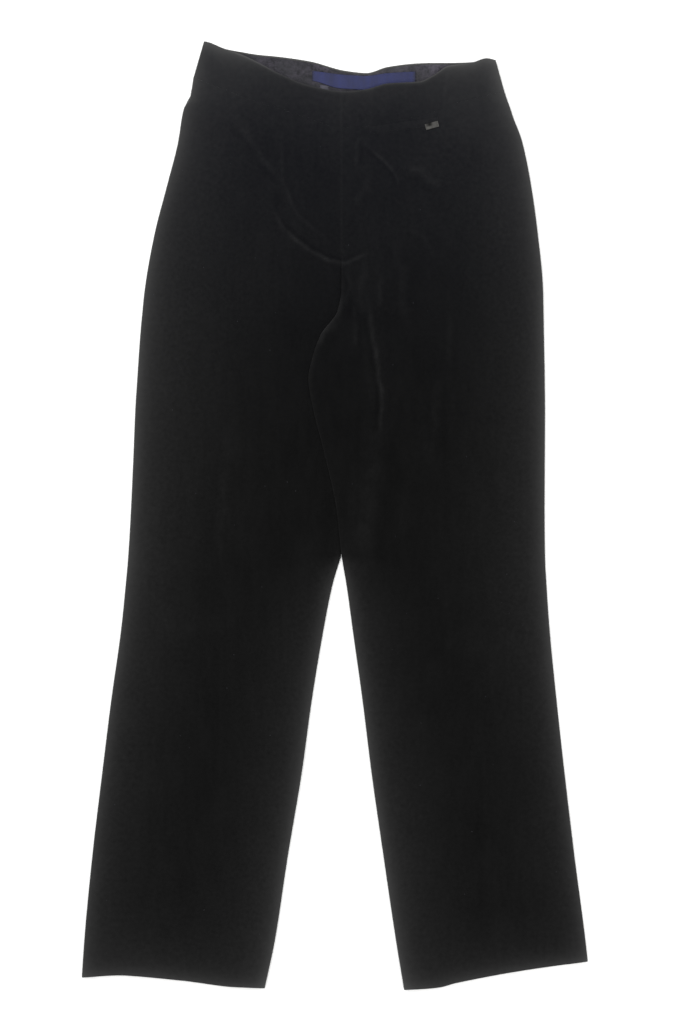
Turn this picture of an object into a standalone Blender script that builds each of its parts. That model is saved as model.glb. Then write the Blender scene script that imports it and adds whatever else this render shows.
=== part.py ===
# Women's straight velvet trousers, laid flat on a surface with the front up.
#
# Metres, +Z up.  +X runs to the wearer's left, +Y towards the waist, and the back rests on Z = 0.
# Each cut piece is a thin wall of its own.  The left leg's inner thigh lies over the right leg's.
import bpy
import bmesh
import numpy as np

# Cloth
WALL = 0.0014               # velvet, one layer
BAND_WALL = 0.0016          # waistband, interfaced
TRIM_WALL = 0.0010          # facing, labels, welt and tab
SEAM_GAP = 0.0003           # between pieces that are sewn to each other
LAY_GAP = 0.0003            # between layers that lie on each other

# Heights of the garment as it lies, both layers together
LEG_LOFT = 0.0047           # along the middle of a leg
SEAT_LOFT = 0.0050
WAIST_LOFT = 0.0064         # over the facing and its labels
SIDE_PUFF = 0.0010          # what a folded side adds
SIDE_PUFF_WIDTH = 0.022
INNER_PUFF_FADE = 0.100     # below the apex, over which the inner legs' folds fill out
PRESSED = 0.0032            # the right leg where the left one lies on it
FOLD_RADIUS = 0.0026        # round the sides and inner legs, seen from above

# Levels above the lowest hem corner
APEX = 0.4900               # where the inner legs meet
CROTCH = 0.7920
SEAT = 0.9000
FACING_FOOT = 0.9950        # the facing's lower edge, above which the waist is at its fullest

# The outline, a row for each level: the sides, and the folds of the two inner legs.
# Between the apex and the crotch the left leg's inner fold lies beyond the right one's.
SECTION_COLUMNS = ("level", "right_side", "right_inner", "left_inner", "left_side")
SECTIONS = (
    (0.000, -0.2940, -0.0868, 0.0706, 0.2815),
    (0.055, -0.2904, -0.0751, 0.0616, 0.2757),
    (0.150, -0.2814, -0.0605, 0.0475, 0.2633),
    (0.245, -0.2701, -0.0446, 0.0339, 0.2520),
    (0.327, -0.2599, -0.0333, 0.0237, 0.2430),
    (0.408, -0.2486, -0.0198, 0.0124, 0.2350),
    (0.455, -0.2438, -0.0105, 0.0060, 0.2318),
    (0.490, -0.2407, -0.0006, 0.0002, 0.2300),
    (0.545, -0.2375, 0.0110, -0.0060, 0.2295),
    (0.612, -0.2345, 0.0290, -0.0208, 0.2298),
    (0.654, -0.2328, 0.0420, -0.0315, 0.2300),
    (0.690, -0.2305, 0.0445, -0.0373, 0.2297),
    (0.713, -0.2290, 0.0400, -0.0328, 0.2293),
    (0.739, -0.2271, 0.0340, -0.0235, 0.2288),
    (0.766, -0.2247, 0.0235, -0.0045, 0.2283),
    (0.792, -0.2219, 0.0000, 0.0000, 0.2277),
    (0.852, -0.2113, 0.0000, 0.0000, 0.2220),
    (0.909, -0.1966, 0.0000, 0.0000, 0.2141),
    (0.958, -0.1842, 0.0000, 0.0000, 0.2040),
    (0.987, -0.1797, 0.0000, 0.0000, 0.1932),
    (0.996, -0.1774, 0.0000, 0.0000, 0.1904),
    (1.005, -0.1715, 0.0000, 0.0000, 0.1870),
    (1.031, -0.1668, 0.0000, 0.0000, 0.1790),
)

# The waist, a row for each place across it: levels of the top edges and of the waist seams.
WAIST_COLUMNS = ("across", "back_top", "front_top", "front_seam", "back_seam")
WAIST_ROWS = (
    (-0.1668, 1.0712, 1.0712, 1.0306, 1.0306),
    (-0.1539, 1.0701, 1.0701, 1.0240, 1.0262),
    (-0.1322, 1.0625, 1.0620, 1.0163, 1.0225),
    (-0.1130, 1.0588, 1.0555, 1.0085, 1.0190),
    (-0.0938, 1.0557, 1.0464, 1.0018, 1.0160),
    (-0.0712, 1.0535, 1.0344, 0.9951, 1.0135),
    (-0.0362, 1.0484, 1.0204, 0.9830, 1.0085),
    (0.0045, 1.0376, 1.0137, 0.9724, 0.9985),
    (0.0283, 1.0351, 1.0163, 0.9746, 0.9955),
    (0.0520, 1.0419, 1.0227, 0.9797, 1.0005),
    (0.0880, 1.0461, 1.0250, 0.9855, 1.0060),
    (0.1040, 1.0465, 1.0322, 0.9903, 1.0066),
    (0.1210, 1.0465, 1.0428, 0.9980, 1.0070),
    (0.1475, 1.0473, 1.0464, 1.0055, 1.0085),
    (0.1639, 1.0511, 1.0511, 1.0090, 1.0110),
    (0.1740, 1.0491, 1.0491, 1.0113, 1.0124),
    (0.1842, 1.0480, 1.0480, 1.0136, 1.0136),
)

# The ends of the waistband at each side: across at the waist seam, across at the top edge.
BAND_SIDES = {"right": (-0.1658, -0.1552), "left": (0.1828, 0.1743)}
PANEL_SIDES = {"right": (-0.1668, 1.0306), "left": (0.1842, 1.0136)}
CENTRE_FRONT_TOP = 0.0045       # the band's centre front leans to the left at its top

# The hems, a row for each place along them, from the side to the inner leg: across, level.
HEMS = {
    "right": ((-0.2927, 0.0140), (-0.2420, 0.0160), (-0.1785, 0.0102), (-0.1243, 0.0034), (-0.0866, 0.0018)),
    "left": ((0.2785, 0.0322), (0.2034, 0.0215), (0.1288, 0.0075), (0.1120, 0.0030), (0.0706, 0.0000)),
}
HEM_BEND_FADE = 0.3             # of the leg's height, over which the hem's bend straightens out

# Largest folds of the front: places along each, half width and rise.
FOLDS = (
    {"name": "long fold under the right hip", "half_width": 0.011, "rise": 0.0011,
     "places": ((-0.130, 0.998), (-0.097, 0.948), (-0.071, 0.914), (-0.050, 0.856), (-0.015, 0.824))},
    {"name": "fold across the left hip", "half_width": 0.010, "rise": 0.0009,
     "places": ((0.016, 0.958), (0.036, 0.950), (0.056, 0.928), (0.066, 0.908))},
    {"name": "fold under the left pocket", "half_width": 0.010, "rise": 0.0008,
     "places": ((0.076, 0.928), (0.096, 0.917), (0.112, 0.904))},
)

# Inside the back waist.  Drops are measured from BACK_TOP, the level about which the back's top edge
# bends, and a strip's follow is the share of that bend that it takes.
BACK_TOP = 1.0475
FACING_ENDS = (-0.1440, 0.1640)
FACING_DROP = 0.0020
FACING_DEPTH = 0.0345
FACING_FOLLOW = 1.0
FACING_COLUMNS = 24
LABEL_ENDS = (-0.0328, 0.0836)
LABEL_DROP = 0.0102
LABEL_DEPTH = 0.0158
LABEL_FOLLOW = 0.45
LABEL_COLUMNS = 10
SIZE_LABEL_ENDS = (-0.0242, -0.0146)
SIZE_LABEL_DEPTH = 0.0110
SIZE_LABEL_COLUMNS = 1

# On the left front
WELT_MIDDLE = (0.0705, 0.9750)
WELT_SIZE = (0.0790, 0.0088)
WELT_TILT = 7.8                 # degrees, rising to the side
WELT_COLUMNS = 8
TAB_MIDDLE = (0.1021, 0.9752)
TAB_SIZE = (0.0155, 0.0070)
TAB_TILT = 15.0
TAB_COLUMNS = 2
FACET_ALLOWANCE = 0.0001        # how far the panel's flat facets pass above its true curve

# Spacing of the wall's points
FOLD_STEPS = 3                  # round a quarter of a fold
FRONT_COLUMNS = 18
BACK_COLUMNS = 10
LEG_ROWS = 10                   # hem to apex
THIGH_ROWS = 15                 # apex to crotch
SEAT_ROWS = 15                  # crotch to waist seam
BAND_ROWS = 2
SHARP_ANGLE = 50.0              # degrees, above which an edge stays crisp

# Finishes: colour, roughness
FINISHES = {
    "velvet": ((0.0060, 0.0058, 0.0075), 0.95),
    "facing": ((0.060, 0.054, 0.066), 0.85),
    "label": ((0.038, 0.050, 0.140), 0.60),
    "size_label": ((0.190, 0.180, 0.190), 0.70),
    "tab": ((0.085, 0.083, 0.082), 0.45),
}


def table(rows, columns):
    """Columns of a table by name."""
    return dict(zip(columns, np.array(rows).T))


def curve(keys, values):
    """A smooth curve through a table's column that never passes its rows: a cubic between rows, level
    where the rows turn back or stay the same, and elsewhere sloped between the slopes beside the row."""
    steps = np.diff(values) / np.diff(keys)
    before, after = steps[:-1], steps[1:]
    same_way = before * after > 0.0
    mean = 2.0 * before * after / np.where(same_way, before + after, 1.0)
    slopes = np.concatenate([steps[:1], np.where(same_way, mean, 0.0), steps[-1:]])

    def at(key):
        key = np.clip(np.asarray(key, dtype=float), keys[0], keys[-1])
        row = np.clip(np.searchsorted(keys, key) - 1, 0, len(keys) - 2)
        span = keys[row + 1] - keys[row]
        t = (key - keys[row]) / span
        start = values[row] * (1 + 2 * t) * (1 - t) ** 2 + slopes[row] * span * t * (1 - t) ** 2
        end = values[row + 1] * (3 - 2 * t) * t ** 2 - slopes[row + 1] * span * t ** 2 * (1 - t)
        return start + end

    return at


section = table(SECTIONS, SECTION_COLUMNS)
waist = table(WAIST_ROWS, WAIST_COLUMNS)
side_at = {side: curve(section["level"], section[side + "_side"]) for side in ("right", "left")}
inner_at = {side: curve(section["level"], section[side + "_inner"]) for side in ("right", "left")}
waist_at = {name: curve(waist["across"], waist[name]) for name in WAIST_COLUMNS[1:]}


def ease(t):
    """0 below 0, 1 above 1, and a soft step between."""
    t = np.clip(t, 0.0, 1.0)
    return t * t * (3.0 - 2.0 * t)


# Heights of the cloth at a place

OVERLAP_MARGIN = 0.006          # past the left leg's fold, all of it pressed
BRIDGE = 0.022                  # how far the left leg's cloth bridges past the right leg's fold
OVERLAP_FADE_ACROSS = 0.030
OVERLAP_FADE_ALONG = 0.050


def overlap(x, y):
    """1 where the left leg lies over the right one, fading to 0 round about."""
    level = np.clip(y, APEX, CROTCH)
    outside = np.maximum(inner_at["left"](level) - x - OVERLAP_MARGIN, x - inner_at["right"](level) - BRIDGE)
    across = np.maximum(outside, 0.0) / OVERLAP_FADE_ACROSS
    along = np.maximum(np.maximum(y - CROTCH, APEX - y), 0.0) / OVERLAP_FADE_ALONG
    return 1.0 - ease(np.hypot(across, along))


def fold_rise(x, y):
    """The rise of the largest folds: highest along each one, with soft flanks."""
    rise = np.zeros(np.broadcast(x, y).shape)
    for fold in FOLDS:
        places = np.array(fold["places"])
        nearest = np.full(rise.shape, np.inf)
        for (x0, y0), (x1, y1) in zip(places[:-1], places[1:]):
            length = (x1 - x0) ** 2 + (y1 - y0) ** 2
            t = np.clip(((x - x0) * (x1 - x0) + (y - y0) * (y1 - y0)) / length, 0.0, 1.0)
            nearest = np.minimum(nearest, np.hypot(x - x0 - t * (x1 - x0), y - y0 - t * (y1 - y0)))
        rise = rise + fold["rise"] * (1.0 - ease(nearest / (2.0 * fold["half_width"])))
    return rise


def loft(x, y):
    """Height of both layers where the garment lies free: more at the waist and along folded sides."""
    base = LEG_LOFT + (SEAT_LOFT - LEG_LOFT) * ease((y - APEX) / (SEAT - APEX))
    base = base + (WAIST_LOFT - SEAT_LOFT) * ease((y - SEAT) / (FACING_FOOT - SEAT))
    puff = np.exp(-((x - side_at["right"](y)) / SIDE_PUFF_WIDTH) ** 2)
    puff = puff + np.exp(-((x - side_at["left"](y)) / SIDE_PUFF_WIDTH) ** 2)
    inner = np.exp(-((x - inner_at["right"](y)) / SIDE_PUFF_WIDTH) ** 2)
    inner = inner + np.exp(-((x - inner_at["left"](y)) / SIDE_PUFF_WIDTH) ** 2)
    puff = puff + np.minimum(inner, 1.0) * ease((APEX - y) / INNER_PUFF_FADE)
    return base + SIDE_PUFF * puff + fold_rise(x, y)


def underside(side, x, y):
    """Height of the back's outer face: on the surface, or on the right leg."""
    if side == "right":
        return np.zeros(np.broadcast(x, y).shape)
    return (PRESSED + LAY_GAP) * overlap(x, y)


def topside(side, x, y):
    """Height of the front's outer face."""
    pressed = overlap(x, y)
    return underside(side, x, y) + pressed * PRESSED + (1.0 - pressed) * loft(x, y)


# Pieces as grids of points

def side_edge(side, v):
    """The side fold: v runs 0 at the hem, 1 at the apex, 2 at the crotch and 3 at the waist seam."""
    y = np.interp(v, (0, 1, 2, 3), (HEMS[side][0][1], APEX, CROTCH, PANEL_SIDES[side][1]))
    return np.stack([side_at[side](y), y], axis=-1)


def centre_edge(side, v, top_level):
    """The inner leg fold up to the crotch, then the centre seam, half a seam's gap off the middle."""
    y = np.interp(v, (0, 1, 2, 3), (HEMS[side][-1][1], APEX, CROTCH, top_level))
    half_gap = SEAM_GAP / 2.0 * (-1.0 if side == "right" else 1.0)
    return np.stack([inner_at[side](y) + half_gap, y], axis=-1)


def bow(points):
    """How far a drawn edge bends away from the straight line between its ends, along u from 0 to 1."""
    points = np.array(points)
    share = (points[:, 0] - points[0, 0]) / (points[-1, 0] - points[0, 0])
    bend = points[:, 1] - points[0, 1] - share * (points[-1, 1] - points[0, 1])
    return curve(share, bend)


def panel_plan(side, layer, u, v):
    """A panel seen from above: straight rows from the side edge to the centre edge, bent at the foot
    like the hem and at the head like the waist seam."""
    seam = waist_at[layer + "_seam"]
    centre_level = float(seam(0.0)) - SEAM_GAP / 2.0
    outer = side_edge(side, v)
    inner = centre_edge(side, v, centre_level)
    flat = (1.0 - u)[..., None] * outer + u[..., None] * inner
    hem_bend = bow(HEMS[side])(u) * (1.0 - ease(v / HEM_BEND_FADE))
    start = PANEL_SIDES[side]
    across = start[0] * (1.0 - u)
    seam_bend = seam(across) - SEAM_GAP / 2.0 - ((1.0 - u) * start[1] + u * centre_level)
    flat[..., 1] += hem_bend + seam_bend * ease(v - 2.0)
    return flat


def band_plan(side, layer, u, t):
    """Half of a waistband seen from above: t runs 0 at the waist seam and 1 at the top edge."""
    half_gap = SEAM_GAP / 2.0 * (-1.0 if side == "right" else 1.0)
    at_seam, at_top = BAND_SIDES[side]
    centre_top = CENTRE_FRONT_TOP if layer == "front" else 0.0
    low_x = at_seam * (1.0 - u) + half_gap * u
    high_x = at_top * (1.0 - u) + (centre_top + half_gap) * u
    low_y = waist_at[layer + "_seam"](low_x) + SEAM_GAP / 2.0
    high_y = waist_at[layer + "_top"](high_x)
    return np.stack([(1 - t) * low_x + t * high_x, (1 - t) * low_y + t * high_y], axis=-1)


def columns_for(width, count, wall, centre_curl):
    """Places across a row, for the outer and the inner face, and how far each drops round a fold.

    The side edge is a quarter of a round, and the centre edge as much of one as centre_curl says:
    FOLD_STEPS places on each, then even ones between.
    """
    turn = np.linspace(0.0, np.pi / 2.0, FOLD_STEPS + 1)
    on_fold = FOLD_RADIUS * (1.0 - np.cos(turn)) / width
    thick = wall * np.cos(turn) / width
    between = np.linspace(0.0, 1.0, count + 2)[1:-1]
    start = FOLD_RADIUS / width
    middle = start + (1.0 - 2.0 * start) * between
    outer = np.concatenate([on_fold, middle, 1.0 - on_fold[::-1]])
    inner = np.concatenate([on_fold + thick, middle, 1.0 - (on_fold + centre_curl * thick)[::-1]])
    side_drop = np.concatenate([1.0 - np.sin(turn), np.zeros(count + FOLD_STEPS + 1)])
    centre_drop = np.concatenate([np.zeros(count + FOLD_STEPS + 1), centre_curl * (1.0 - np.sin(turn[::-1]))])
    return outer, inner, side_drop, centre_drop


def wall_faces(plan, side, layer, rows, count, wall, curl):
    """The outer and the inner face of a piece.  curl(v) is 1 where the centre edge is folded down."""
    faces = {"outer": [], "inner": []}
    for v in rows:
        ends = plan(np.array([0.0, 1.0]), np.array(v))
        width = np.hypot(*(ends[1] - ends[0]))
        middle_height = (underside(side, *ends.T) + topside(side, *ends.T)) / 2.0
        outer, inner, side_drop, centre_drop = columns_for(width, count, wall, curl(v))
        for face, u, inset in (("outer", outer, 0.0), ("inner", inner, wall)):
            place = plan(u, np.full(u.shape, v))
            if layer == "front":
                flat = topside(side, place[:, 0], place[:, 1]) - inset
                edge = middle_height + SEAM_GAP / 2.0
            else:
                flat = underside(side, place[:, 0], place[:, 1]) + inset
                edge = middle_height - SEAM_GAP / 2.0
            height = flat + side_drop * (edge[0] - flat) + centre_drop * (edge[1] - flat)
            faces[face].append(np.column_stack([place, height]))
    return np.array(faces["outer"]), np.array(faces["inner"])


def plate_faces(places, height, thickness):
    """The upper and the lower face of a strip, from its rows of places and its lower face's height."""
    lower = np.dstack([places, height])
    upper = lower + np.array([0.0, 0.0, thickness])
    return upper, lower


def add_piece(name, finish, outer, inner):
    """Join two faces of equal grids round their rim into one closed wall."""
    rows, columns = outer.shape[:2]
    index = np.arange(rows * columns).reshape(rows, columns)
    back = index + rows * columns
    quads = [
        np.stack([index[:-1, :-1], index[:-1, 1:], index[1:, 1:], index[1:, :-1]], axis=-1).reshape(-1, 4),
        np.stack([back[:-1, :-1], back[1:, :-1], back[1:, 1:], back[:-1, 1:]], axis=-1).reshape(-1, 4),
    ]
    rim = np.concatenate([index[0, :], index[1:, -1], index[-1, -2::-1], index[-2:0:-1, 0]])
    after = np.roll(rim, -1)
    quads.append(np.stack([after, rim, rim + rows * columns, after + rows * columns], axis=-1))
    mesh = bpy.data.meshes.new(name)
    points = np.concatenate([outer.reshape(-1, 3), inner.reshape(-1, 3)])
    mesh.from_pydata(points.tolist(), [], np.concatenate(quads).tolist())
    shape = bmesh.new()
    shape.from_mesh(mesh)
    bmesh.ops.recalc_face_normals(shape, faces=shape.faces)
    shape.to_mesh(mesh)
    shape.free()
    mesh.shade_smooth()
    mesh.set_sharp_from_angle(angle=np.radians(SHARP_ANGLE))
    piece = bpy.data.objects.new(name, mesh)
    bpy.context.scene.collection.objects.link(piece)
    mesh.materials.append(material_for(name, finish))
    return piece


def material_for(name, finish):
    """A plain finish of the piece's own."""
    colour, roughness = FINISHES[finish]
    material = bpy.data.materials.new(name + "_" + finish)
    material.use_nodes = True
    shader = material.node_tree.nodes["Principled BSDF"]
    shader.inputs["Base Color"].default_value = (*colour, 1.0)
    shader.inputs["Roughness"].default_value = roughness
    shader.inputs["Metallic"].default_value = 0.0
    return material


# The garment's pieces

PANEL_ROWS = np.concatenate([
    np.linspace(0.0, 1.0, LEG_ROWS, endpoint=False),
    np.linspace(1.0, 2.0, THIGH_ROWS, endpoint=False),
    np.linspace(2.0, 3.0, SEAT_ROWS + 1),
])
CURL_FADE = 0.06                # of the thigh's rows, just below the crotch


def leg_curl(v):
    """The centre edge is folded along the inner leg, and lies flat along the centre seam."""
    return float(1.0 - ease((v - 2.0 + CURL_FADE) / CURL_FADE))


def no_curl(v):
    return 0.0


def build_panel(side, layer):
    count = FRONT_COLUMNS if layer == "front" else BACK_COLUMNS

    def plan(u, v):
        return panel_plan(side, layer, u, v)

    outer, inner = wall_faces(plan, side, layer, PANEL_ROWS, count, WALL, leg_curl)
    return add_piece(layer + "_" + side, "velvet", outer, inner)


def band_faces(side, layer):
    count = FRONT_COLUMNS if layer == "front" else BACK_COLUMNS

    def plan(u, t):
        return band_plan(side, layer, u, t)

    return wall_faces(plan, side, layer, np.linspace(0.0, 1.0, BAND_ROWS + 1), count, BAND_WALL, no_curl)


def build_front_band(side):
    return add_piece("waistband_front_" + side, "velvet", *band_faces(side, "front"))


def build_back_band():
    """One piece: the right half's columns, then the left half's in reverse."""
    right = band_faces("right", "back")
    left = band_faces("left", "back")
    faces = [np.concatenate([a[:, :-1], b[:, ::-1]], axis=1) for a, b in zip(right, left)]
    return add_piece("waistband_back", "velvet", *faces)


def strip_along_back(ends, drop, depth, follow, columns):
    """Two rows of places, the lower and the upper edge of a strip inside the back's top edge."""
    across = np.linspace(*ends, columns + 1)
    top = BACK_TOP - drop + follow * (waist_at["back_top"](across) - BACK_TOP)
    return np.array([np.column_stack([across, top - depth]), np.column_stack([across, top])])


def build_inside():
    on_band = BAND_WALL + LAY_GAP
    on_facing = on_band + TRIM_WALL + LAY_GAP
    pieces = (
        ("waistband_facing", "facing", FACING_ENDS, FACING_DROP, FACING_DEPTH, FACING_FOLLOW,
         FACING_COLUMNS, on_band),
        ("inner_label", "label", LABEL_ENDS, LABEL_DROP, LABEL_DEPTH, LABEL_FOLLOW,
         LABEL_COLUMNS, on_facing),
        ("size_label", "size_label", SIZE_LABEL_ENDS, LABEL_DROP + LABEL_DEPTH + SEAM_GAP,
         SIZE_LABEL_DEPTH, LABEL_FOLLOW, SIZE_LABEL_COLUMNS, on_facing),
    )
    for name, finish, ends, drop, depth, follow, columns, height in pieces:
        rows = strip_along_back(ends, drop, depth, follow, columns)
        add_piece(name, finish, *plate_faces(rows, np.full(rows.shape[:2], height), TRIM_WALL))


def turned_rows(middle, size, tilt, columns):
    """Two rows of places, the long edges of a rectangle turned about its middle."""
    across = np.linspace(-0.5, 0.5, columns + 1) * size[0]
    along = np.array([-0.5, 0.5]) * size[1]
    x, y = np.meshgrid(across, along)
    angle = np.radians(tilt)
    return np.dstack([middle[0] + x * np.cos(angle) - y * np.sin(angle),
                      middle[1] + x * np.sin(angle) + y * np.cos(angle)])


def build_on_front():
    """The welt follows the left front, and the tab hangs over the lower edge of the welt's outer end."""
    clear = LAY_GAP + FACET_ALLOWANCE
    rows = turned_rows(WELT_MIDDLE, WELT_SIZE, WELT_TILT, WELT_COLUMNS)
    height = topside("left", rows[..., 0], rows[..., 1]) + clear
    add_piece("pocket_welt", "velvet", *plate_faces(rows, height, TRIM_WALL))
    rows = turned_rows(TAB_MIDDLE, TAB_SIZE, TAB_TILT, TAB_COLUMNS)
    height = topside("left", rows[..., 0], rows[..., 1]) + clear + TRIM_WALL + LAY_GAP
    add_piece("front_tab", "tab", *plate_faces(rows, height, TRIM_WALL))


def centre_on_origin(pieces):
    """Move all points so that the garment's box is centred on X and Y and stands on Z = 0."""
    corners = []
    for piece in pieces:
        points = np.empty(len(piece.data.vertices) * 3)
        piece.data.vertices.foreach_get("co", points)
        corners.append(points.reshape(-1, 3))
    every = np.concatenate(corners)
    low, high = every.min(axis=0), every.max(axis=0)
    shift = np.array([(low[0] + high[0]) / 2.0, (low[1] + high[1]) / 2.0, low[2]])
    for piece, points in zip(pieces, corners):
        piece.data.vertices.foreach_set("co", (points - shift).ravel())
        piece.data.update()


def main():
    for thing in list(bpy.data.objects):
        bpy.data.objects.remove(thing, do_unlink=True)
    for side in ("right", "left"):
        build_panel(side, "back")
        build_panel(side, "front")
        build_front_band(side)
    build_back_band()
    build_inside()
    build_on_front()
    centre_on_origin([thing for thing in bpy.data.objects if thing.type == "MESH"])


main()
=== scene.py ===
# Women's black velvet trousers, laid flat with the front up and seen from straight above.
# Metres, +X to the wearer's left, +Y to the waist, +Z up off the floor.
import bpy
import numpy as np
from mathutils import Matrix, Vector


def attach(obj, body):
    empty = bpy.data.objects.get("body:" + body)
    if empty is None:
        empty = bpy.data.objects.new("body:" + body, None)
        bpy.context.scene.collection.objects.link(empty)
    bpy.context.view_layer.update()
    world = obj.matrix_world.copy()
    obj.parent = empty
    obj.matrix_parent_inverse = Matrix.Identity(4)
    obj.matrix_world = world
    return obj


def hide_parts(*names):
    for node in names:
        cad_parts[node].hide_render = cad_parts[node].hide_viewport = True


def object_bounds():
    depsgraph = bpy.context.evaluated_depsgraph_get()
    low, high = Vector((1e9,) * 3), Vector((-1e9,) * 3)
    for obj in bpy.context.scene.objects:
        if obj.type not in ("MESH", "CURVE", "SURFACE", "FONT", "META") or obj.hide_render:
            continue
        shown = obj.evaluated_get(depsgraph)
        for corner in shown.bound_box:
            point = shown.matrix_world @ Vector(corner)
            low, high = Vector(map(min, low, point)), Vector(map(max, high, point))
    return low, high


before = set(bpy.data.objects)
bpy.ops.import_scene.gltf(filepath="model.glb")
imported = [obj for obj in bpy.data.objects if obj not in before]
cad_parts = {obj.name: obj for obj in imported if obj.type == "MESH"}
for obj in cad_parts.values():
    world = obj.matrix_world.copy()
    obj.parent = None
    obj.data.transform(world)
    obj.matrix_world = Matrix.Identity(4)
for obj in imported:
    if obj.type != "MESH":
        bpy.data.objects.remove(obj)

cadLow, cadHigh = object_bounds()
mm = 0.001
bpy.context.scene.view_settings.view_transform = "Standard"
print("frame loaded, nodes:", len(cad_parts))


# Camera, floor and light

photo = {"width": 683, "height": 1024, "metresPerPixel": 1.13 * mm,
         "garmentMiddle": (334.8, 515.7)}  # where the middle of the garment's box lies in the photo
camera = {"height": 3.2, "sensor": 36.0}
floorLook = {"size": 9.0, "paper": "#f7f7f6", "grainMm": 1.5, "grainDepthMm": 0.1, "below": 0.2 * mm}
lightLook = {
    "world": "#ffffff", "worldStrength": 1.25,
    "key": {"at": (-1.1, 1.5, 2.2), "size": 1.6, "watts": 38.0},
    "fill": {"at": (1.6, -1.0, 2.0), "size": 2.2, "watts": 14.0},
}
lineScale = {"DIAGONAL": 0.63, "Y": 0.314}  # a wave texture's scale for lines a metre apart


def linearColour(hexText):
    # sRGB hex to the linear values that shaders take
    parts = np.array([int(hexText[k:k + 2], 16) for k in (1, 3, 5)]) / 255.0
    linear = np.where(parts <= 0.04045, parts / 12.92, ((parts + 0.055) / 1.055) ** 2.4)
    return (*linear.tolist(), 1.0)


def setInputs(tree, node, inputs):
    # an input that is another node's socket is linked; any other is set on its own socket
    for key, value in inputs.items():
        if isinstance(value, bpy.types.NodeSocket):
            tree.links.new(value, node.inputs[key])
        else:
            node.inputs[key].default_value = value


def addNode(tree, kind, inputs, output=0, **options):
    # one node with its options and inputs; gives the output that other nodes take
    node = tree.nodes.new("ShaderNode" + kind)
    for key, value in options.items():
        setattr(node, key, value)
    setInputs(tree, node, inputs)
    return node.outputs[output]


def addMath(tree, operation, *numbers, **options):
    return addNode(tree, "Math", dict(enumerate(numbers)), operation=operation, **options)


def addField(tree, name):
    # the piece's own attribute
    return addNode(tree, "Attribute", {}, "Fac", attribute_name=name)


def addNoise(tree, way, sizeMm, detail, **more):
    # noise with marks of about a size in mm
    inputs = {"Vector": way, "Scale": 1 / (sizeMm * mm), "Detail": detail, **more}
    return addNode(tree, "TexNoise", inputs, "Fac")


def addSwing(tree, way, sizeMm, detail, share):
    # this share of a noise, about its middle
    return addMath(tree, "MULTIPLY_ADD", addNoise(tree, way, sizeMm, detail), share, -share / 2)


def addLines(tree, way, direction, apartMm, **more):
    # parallel lines this far apart
    inputs = {"Vector": way, "Scale": lineScale[direction] / (apartMm * mm), **more}
    return addNode(tree, "TexWave", inputs, "Fac", wave_type="BANDS", bands_direction=direction)


def addBump(tree, height, depthMm, strength, **more):
    inputs = {"Height": height, "Distance": depthMm * mm, "Strength": strength, **more}
    return addNode(tree, "Bump", inputs)


def addMix(tree, share, first, second, **options):
    # a colour between two, each in hex or from another node
    sides = [linearColour(side) if isinstance(side, str) else side for side in (first, second)]
    return addNode(tree, "Mix", {0: share, 6: sides[0], 7: sides[1]}, 2, data_type="RGBA", **options)


def newMaterial(name):
    # a material, its nodes, and where each point lies on the garment
    material = bpy.data.materials.new(name)
    material.use_nodes = True
    return material, material.node_tree, addNode(material.node_tree, "TexCoord", {}, "Object")


def finished(material, colour, normal, roughness, specular=0.5, more=None):
    # the material with its colour, relief and gloss on the shader
    inputs = {"Base Color": colour, "Normal": normal, "Roughness": roughness, "Specular IOR Level": specular}
    inputs.update(more or {})
    setInputs(material.node_tree, material.node_tree.nodes["Principled BSDF"], inputs)
    return material


def addObject(name, data):
    thing = bpy.data.objects.new(name, data)
    bpy.context.scene.collection.objects.link(thing)
    return thing


def makeCamera():
    # straight above, and its picture is as high as the photo
    data = bpy.data.cameras.new("photoCamera")
    data.sensor_width = camera["sensor"]
    data.lens = camera["sensor"] * camera["height"] / (photo["height"] * photo["metresPerPixel"])
    eye = addObject("photoCamera", data)
    aimX = (photo["width"] / 2 - photo["garmentMiddle"][0]) * photo["metresPerPixel"]
    aimY = (photo["garmentMiddle"][1] - photo["height"] / 2) * photo["metresPerPixel"]
    eye.location = (aimX, aimY, camera["height"])  # turned by nothing, so it looks straight down
    bpy.context.scene.camera = eye


def makeFloor():
    half = floorLook["size"] / 2
    mesh = bpy.data.meshes.new("floor")
    corners = [(-half, -half, 0), (half, -half, 0), (half, half, 0), (-half, half, 0)]
    mesh.from_pydata(corners, [], [(0, 1, 2, 3)])
    floor = addObject("floor", mesh)
    floor.location.z = -floorLook["below"]
    # matte white backdrop paper: no gloss, a hardly visible grain
    material, tree, spot = newMaterial("backdropPaperMatte")
    bump = addBump(tree, addNoise(tree, spot, floorLook["grainMm"], 2.0), floorLook["grainDepthMm"], 0.1)
    mesh.materials.append(finished(material, linearColour(floorLook["paper"]), bump, 0.9, 0.1))


def makeLights():
    world = bpy.data.worlds.new("studio")
    bpy.context.scene.world = world
    world.use_nodes = True
    setInputs(world.node_tree, world.node_tree.nodes["Background"],
              {"Color": linearColour(lightLook["world"]), "Strength": lightLook["worldStrength"]})
    for name in ("key", "fill"):
        light = lightLook[name]
        data = bpy.data.lights.new(name, "AREA")
        data.shape = "DISK"
        data.size = light["size"]
        data.energy = light["watts"]
        lamp = addObject(name, data)
        lamp.location = light["at"]
        lamp.rotation_mode = "QUATERNION"
        lamp.rotation_quaternion = lamp.location.to_track_quat("Z", "Y")  # shines at the floor's middle


makeCamera()
makeFloor()
makeLights()
print("camera, floor and light made")


# Shape of the garment as it lies, in its own measures: across from the centre front, up from the lowest hem

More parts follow.
